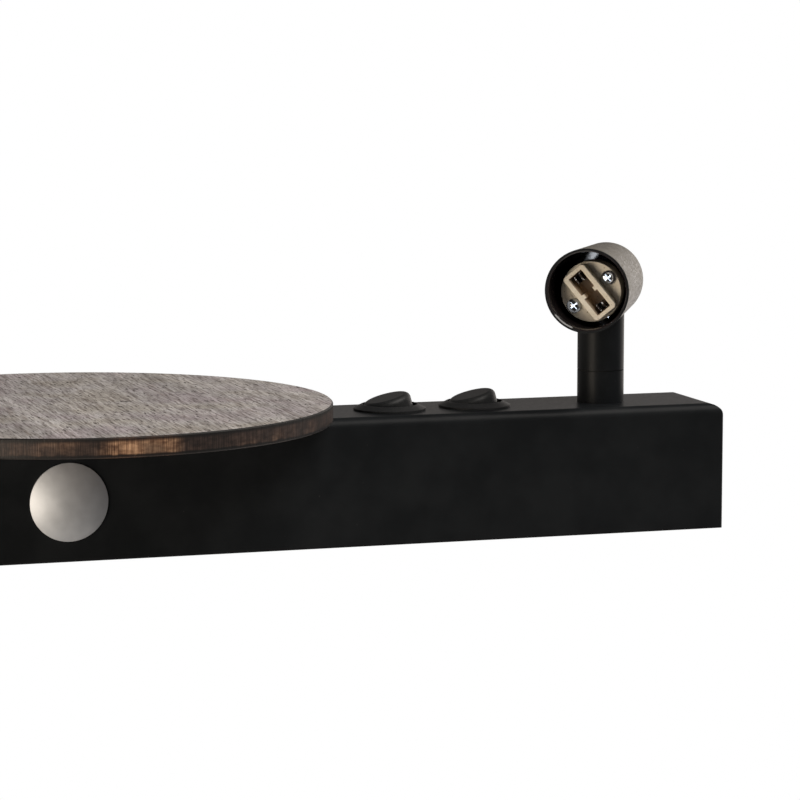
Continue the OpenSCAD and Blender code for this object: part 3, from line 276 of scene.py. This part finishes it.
def steatite(name, dark, light):
    """Pressed steatite ceramic, unglazed: slightly gritty, with pin-head specks."""
    material, tree, place = begin(name)
    cloud = add(tree, "TexNoise", {"Vector": place, "Scale": per(3), "Detail": 3.0})
    grit = add(tree, "TexNoise", {"Vector": place, "Scale": per(0.5), "Detail": 1.0})
    tone = add(tree, "ValToRGB", {"Fac": cloud}, stops=[(0.3, dark), (0.7, light)])
    specks = add(tree, "ValToRGB", {"Fac": grit}, stops=[(0.24, "#93876f"), (0.32, "#ffffff")])
    colour = add(tree, "VectorMath", {0: tone, 1: specks}, operation="MULTIPLY")
    rough = add(tree, "MapRange", {"Value": grit, "To Min": 0.45, "To Max": 0.65})
    bump = add(tree, "Bump", {"Height": grit, "Distance": 0.02 * MM})
    ceramic = add(tree, "BsdfPrincipled", {
        "Base Color": colour, "Roughness": rough, "Normal": bump, "IOR": 1.55})
    add(tree, "OutputMaterial", {"Surface": ceramic})
    return material


def moulded_plastic(name, dark, light, roughness, spark_mm):
    """A moulded plastic with the fine spark-eroded texture of its mould."""
    material, tree, place = begin(name)
    spark = add(tree, "TexNoise", {"Vector": place, "Scale": per(spark_mm), "Detail": 3.0})
    tone = add(tree, "ValToRGB", {"Fac": spark}, stops=[(0.3, dark), (0.7, light)])
    rough = add(tree, "MapRange", {
        "Value": spark, "To Min": roughness - 0.08, "To Max": roughness + 0.08})
    bump = add(tree, "Bump", {"Height": spark, "Distance": 0.01 * MM})
    plastic = add(tree, "BsdfPrincipled", {
        "Base Color": tone, "Roughness": rough, "Normal": bump, "IOR": 1.3})
    add(tree, "OutputMaterial", {"Surface": plastic})
    return material


PAINT = matt_paint()
COAT = structured_coat()
GLOSS = gloss_lacquer()
PLYWOOD = stained_plywood()
NICKEL = satin_nickel()
ZINC = zinc_plate()
BRASS = brass()
SPRING = spring_steel()
STEATITE = steatite("steatite_ceramic", "#d9d0bd", "#e6dfd0")
SLOT_STEATITE = steatite("darker_slot_steatite", "#a8957f", "#c6b299")
ABS = moulded_plastic("black_abs", "#212223", "#2b2c2d", 0.46, 0.5)
POLYAMIDE = moulded_plastic("natural_polyamide", "#c6c3b8", "#dad7cd", 0.5, 0.8)
NITRILE = moulded_plastic("nitrile_rubber", "#151515", "#1f1f1f", 0.75, 0.6)
SHEATH = moulded_plastic("black_pvc_sheath", "#161617", "#222223", 0.42, 0.9)
BROWN_CORE = moulded_plastic("brown_pvc_core", "#4d3222", "#5d3d2a", 0.4, 0.9)
BLUE_CORE = moulded_plastic("blue_pvc_core", "#24508a", "#2d5f9f", 0.4, 0.9)

# Finish of each kind of piece; what isn't listed is zinc-plated steel
FINISHES = {
    "canopy": PAINT, "stem_tube": PAINT, "bar_shell": PAINT, "cover_plate": PAINT,
    "post_stub": PAINT, "post": PAINT, "head_tube": COAT,
    "cap_nut": NICKEL, "shelf_board": PLYWOOD, "holder_contacts": SPRING,
    "terminal_block": POLYAMIDE, "terminal_inserts": BRASS, "earth_screw": BRASS,
    "switch_body": ABS, "switch_rocker": ABS, "switch_plunger": BRASS, "switch_arm": BRASS,
    "switch_terminals": BRASS, "wire_grommets": NITRILE, "swivel_washer": NITRILE,
    "lamp_holder": STEATITE,
}
for name, piece in nodes.items():
    kind = name
    for side in ("inner_", "outer_", "right_", "left_"):
        kind = kind.removeprefix(side)
    piece.data.materials.clear()
    piece.data.materials.append(FINISHES.get(kind, ZINC))


def head_place(side):
    """A head's centre over its post and its unit axis out of the mouth, in metres."""
    centre = Vector((side * POST_X, BAR_Y, HEAD_AXIS_Z)) * MM
    return centre, Vector((-side * math.sin(HEAD_TURN), -math.cos(HEAD_TURN), 0))


# Rounding of sharp edges: widths and the weld's reach in millimetres, and what counts as sharp
LIP_ROUND = 0.3
CERAMIC_ROUND = 0.3
WELD_REACH = 0.002
SHARP_ANGLE = math.radians(35)


def soften(piece, width):
    """Rounds a piece's sharp edges by a small width in millimetres."""
    weld = piece.modifiers.new("joined", "WELD")
    weld.merge_threshold = WELD_REACH * MM
    edge = piece.modifiers.new("rounded", "BEVEL")
    edge.limit_method = "ANGLE"
    edge.angle_limit = SHARP_ANGLE
    edge.width = width * MM
    edge.segments = 3


def line_heads():
    """The heads' inside and inner lip are gloss lacquer, their rim face is matt
    and their outside keeps the structured coat."""
    for side, name in ((1, "right_head_tube"), (-1, "left_head_tube")):
        mesh = nodes[name].data
        mesh.materials.append(GLOSS)
        mesh.materials.append(PAINT)
        centre, axis = head_place(side)
        for face in mesh.polygons:
            out = (Vector(face.center) - centre) / MM
            along = out.dot(axis)
            radius = (out - along * axis).length
            outside = HEAD_MOUTH_R + (along - HEAD_REACH) * HEAD_DRAFT
            in_bore = radius < outside - HEAD_WALL / 2
            inside = in_bore and along > HEAD_WALL / 2 - HEAD_BACK
            lip = along > HEAD_REACH - HEAD_WALL / 2
            rim_face = lip and face.normal.dot(axis) > 0.9
            face.material_index = 2 if rim_face else int(inside or lip)
        soften(nodes[name], LIP_ROUND)


SLOT_MARGIN = 0.1


def brown_slots():
    """The walls of the lamp slots are a darker brown steatite than the rest of the holder."""
    for side, name in ((1, "right_lamp_holder"), (-1, "left_lamp_holder")):
        mesh = nodes[name].data
        mesh.materials.append(SLOT_STEATITE)
        centre, axis = head_place(side)
        centre = centre - Vector((0, 0, HOLDER_DROP * MM))
        up = Vector((0, 0, 1))
        level = side * up.cross(axis)
        long_way = math.cos(NOSE_TURN) * level - math.sin(NOSE_TURN) * up
        short_way = axis.cross(long_way)
        for face in mesh.polygons:
            out = (Vector(face.center) - centre) / MM
            sunk = out.dot(axis) < NOSE_TOP - SLOT_MARGIN
            in_length = abs(out.dot(long_way)) < LAMP_SLOT[0] / 2 + SLOT_MARGIN
            in_width = abs(out.dot(short_way)) < LAMP_SLOT[1] / 2 + SLOT_MARGIN
            face.material_index = int(sunk and in_length and in_width)
        soften(nodes[name], CERAMIC_ROUND)


line_heads()
brown_slots()

CURVE_STEPS = 8


def smooth_route(points):
    """Points along a smooth curve through the given ones."""
    points = [Vector(p) for p in points]
    route = []
    for i in range(len(points) - 1):
        a, b, c = points[max(i - 1, 0)], points[i], points[i + 1]
        d = points[min(i + 2, len(points) - 1)]
        for k in range(CURVE_STEPS):
            t = k / CURVE_STEPS
            route.append(b + t / 2 * (c - a + t * (2 * a - 5 * b + 4 * c - d
                                                   + t * (3 * (b - c) + d - a))))
    return route + [points[-1]]


def lead(name, points, radius, finish, body, node=None):
    """A round lead along a smooth route, in millimetres, which may stand for a node's solid."""
    curve = bpy.data.curves.new(name, "CURVE")
    curve.dimensions = "3D"
    curve.bevel_depth = radius * MM
    curve.bevel_resolution = 4
    curve.use_fill_caps = True
    route = smooth_route(points)
    spline = curve.splines.new("POLY")
    spline.points.add(len(route) - 1)
    for knot, place in zip(spline.points, route):
        knot.co = (*(place * MM), 1)
    curve.materials.append(finish)
    piece = bpy.data.objects.new(name, curve)
    bpy.context.scene.collection.objects.link(piece)
    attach(piece, body)
    if node:
        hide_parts(node)


# Leads, in millimetres: radii, heights of their runs, and where they end
LEAD_R = 1.6
HEAD_LEAD_R = 2.0
CORE_R = 0.7
LANE_Z = -13.3
WIRE_Z = -8.5
BLADE_Z = 0.7
POST_LEAD_TOP = 41.6
# A head lead's route: height above the head's axis, and distance out along it
HEAD_LEAD_ROUTE = [(-18.57, 0), (-8.55, 0), (-2.55, 0.3), (1.2, 2.7), (2, 6.75), (2, 13.35)]


def wire_the_lamp():
    """The leads that run inside: block to switch, switches to posts, and posts to lamp holders."""
    lead("supply_lead_sheath", [
        (15, -13.2, WIRE_Z), (12, -14.1, WIRE_Z), (6, -18.1, WIRE_Z), (1.5, -22.05, WIRE_Z),
        (0, -26, WIRE_Z), (0, -30.5, WIRE_Z), (0, -64, WIRE_Z), (0, -70, WIRE_Z),
        (2, -76, WIRE_Z), (12, -79, LANE_Z), (24, -82, LANE_Z), (88.95, -82, LANE_Z),
        (103.95, -84, LANE_Z + 3), (106.95, BAR_Y, -5), (106.95, BAR_Y, BLADE_Z),
    ], LEAD_R, SHEATH, "frame", "supply_lead")
    lead("supply_core_live", [
        (14, -13.6, -9.2), (18, -12.5, -9), (21, -12.2, -8.3), (24.2, -12, -8), (27, -12, -8),
    ], CORE_R, BROWN_CORE, "frame")
    lead("supply_core_neutral", [
        (14, -13.6, -7.8), (18, -12.8, -6), (21, -12.4, -2), (23.5, -12, 0), (27, -12, 0),
    ], CORE_R, BLUE_CORE, "frame")
    for side, name, end_x, lane_y in (
            (1, "right", 130.95, BAR_Y), (-1, "left", 102.65, BAR_Y - 9)):
        x = side * POST_X
        lead(name + "_lead_sheath", [
            (x, BAR_Y, POST_LEAD_TOP), (x, BAR_Y, BAR_TOP), (x, BAR_Y, LANE_Z + 18),
            (x - side * 6, lane_y, LANE_Z + 6), (x - side * 18, lane_y, LANE_Z),
            (end_x + side * 18, lane_y, LANE_Z),
            (end_x + side * 6, (lane_y + BAR_Y) / 2, LANE_Z + 3),
            (end_x, BAR_Y, -5), (end_x, BAR_Y, BLADE_Z),
        ], LEAD_R, SHEATH, "frame", name + "_lead")
        centre, axis = head_place(side)
        lead(name + "_head_lead_sheath", [
            centre / MM + Vector((0, 0, up)) + out * axis for up, out in HEAD_LEAD_ROUTE
        ], HEAD_LEAD_R, SHEATH, name + "_head", name + "_head_lead")


wire_the_lamp()


def white_surround():
    """White where the camera looks past the lamp; for the lamp itself a pale backdrop behind it
    up to about 20 degrees, lighter on the right, and a dim room in front."""
    world = bpy.data.worlds.new("white_surround")
    bpy.context.scene.world = world
    world.use_nodes = True
    tree = world.node_tree
    tree.nodes.clear()
    generated = add(tree, "TexCoord", {}).outputs["Generated"]
    direction = add(tree, "SeparateXYZ", {0: generated})
    behind = add(tree, "MapRange", {
        "Value": direction.outputs["Y"], "From Min": -0.1, "From Max": 0.35})
    low = add(tree, "MapRange", {
        "Value": direction.outputs["Z"], "From Min": 0.45, "From Max": 0.25})
    right = add(tree, "MapRange", {
        "Value": direction.outputs["X"], "From Min": 0.4, "From Max": 0.6,
        "To Min": 0.29, "To Max": 1.4})
    backdrop = add(tree, "Math", {0: behind, 1: low}, operation="MULTIPLY")
    backdrop = add(tree, "Math", {0: backdrop, 1: right}, operation="MULTIPLY")
    dim = add(tree, "MapRange", {
        "Value": direction.outputs["X"], "From Min": 0.0, "From Max": 0.6,
        "To Min": 0.025, "To Max": 0.17})
    room = add(tree, "Math", {0: backdrop, 1: dim}, operation="ADD")
    path = add(tree, "LightPath", {})
    seen = add(tree, "Math", {
        0: path.outputs["Is Camera Ray"], 1: path.outputs["Is Transmission Ray"],
    }, operation="MAXIMUM")
    level = add(tree, "Mix", {0: seen, 2: room, 3: 1.0}, data_type="FLOAT")
    tint = add(tree, "Mix", {
        0: seen, 6: linear("#fff7f1"), 7: linear("#ffffff")}, data_type="RGBA").outputs[2]
    surround = add(tree, "Background", {"Color": tint, "Strength": level})
    add(tree, "OutputWorld", {"Surface": surround})


# Studio, in metres and watts: the floor, the point that is lit, and each light's name,
# place, size, power and colour
FLOOR_Z = -0.8
FLOOR_R = 1.0
LIT_POINT = Vector((0.08, -0.09, 0.02))
LIGHTS = [
    ("light_above", (0.60, -0.60, 0.95), (1.4, 0.7), 15.3, "#fffaf4"),
    ("light_left", (-0.75, -0.48, -0.09), (0.55, 0.55), 8.0, "#fff0dd"),
    ("card_left", (-0.54, -1.04, -0.05), (0.07, 0.12), 0.25, "#f2f7ff"),
]


def pale_floor():
    """A plain pale floor well below the lamp, fading out at its rim."""
    mesh = bpy.data.meshes.new("floor")
    shape = bmesh.new()
    bmesh.ops.create_circle(shape, cap_ends=True, segments=96, radius=FLOOR_R)
    shape.to_mesh(mesh)
    shape.free()
    floor = bpy.data.objects.new("floor", mesh)
    floor.location = (0, BAR_Y * MM, FLOOR_Z)
    bpy.context.scene.collection.objects.link(floor)
    material, tree, place = begin("pale_floor")
    plain = add(tree, "BsdfPrincipled", {"Base Color": linear("#f0f0f1"), "Roughness": 0.8})
    reach = add(tree, "VectorMath", {0: place}, operation="LENGTH").outputs["Value"]
    fade = add(tree, "MapRange", {
        "Value": reach, "From Min": 0.5 * FLOOR_R, "From Max": FLOOR_R})
    clear = add(tree, "BsdfTransparent", {})
    blend = add(tree, "MixShader", {0: fade, 1: plain, 2: clear})
    add(tree, "OutputMaterial", {"Surface": blend})
    mesh.materials.append(material)


def studio_lights():
    """A wide soft light above, a soft one on the left, and a small card on the left
    that the screws and the heads' lacquer mirror."""
    for name, place, size, power, tint in LIGHTS:
        data = bpy.data.lights.new(name, "AREA")
        data.shape = "RECTANGLE"
        data.size, data.size_y = size
        data.energy = power
        data.color = linear(tint)[:3]
        lamp = bpy.data.objects.new(name, data)
        lamp.location = place
        lamp.rotation_mode = "QUATERNION"
        lamp.rotation_quaternion = (LIT_POINT - Vector(place)).to_track_quat("-Z", "Y")
        bpy.context.scene.collection.objects.link(lamp)


bpy.context.scene.view_settings.view_transform = "Standard"
white_surround()
pale_floor()
studio_lights()

# Camera: lens and film width, and place, in millimetres; turn to the right and tilt down
LENS = 144.43
FILM = 36
CAMERA_PLACE = (-190.9, -1047.0, 150.6)
CAMERA_YAW = math.radians(17.39)
CAMERA_PITCH = math.radians(7.11)


def camera_in_front():
    """The camera stands left of the lamp and a little above it, and looks along the bar
    to its right end."""
    data = bpy.data.cameras.new("camera")
    data.sensor_width = FILM
    data.lens = LENS
    data.clip_start = 0.01
    camera = bpy.data.objects.new("camera", data)
    camera.location = Vector(CAMERA_PLACE) * MM
    forward = Vector((
        math.sin(CAMERA_YAW) * math.cos(CAMERA_PITCH),
        math.cos(CAMERA_YAW) * math.cos(CAMERA_PITCH),
        -math.sin(CAMERA_PITCH)))
    camera.rotation_mode = "QUATERNION"
    camera.rotation_quaternion = forward.to_track_quat("-Z", "Y")
    bpy.context.scene.collection.objects.link(camera)
    bpy.context.scene.camera = camera


camera_in_front()
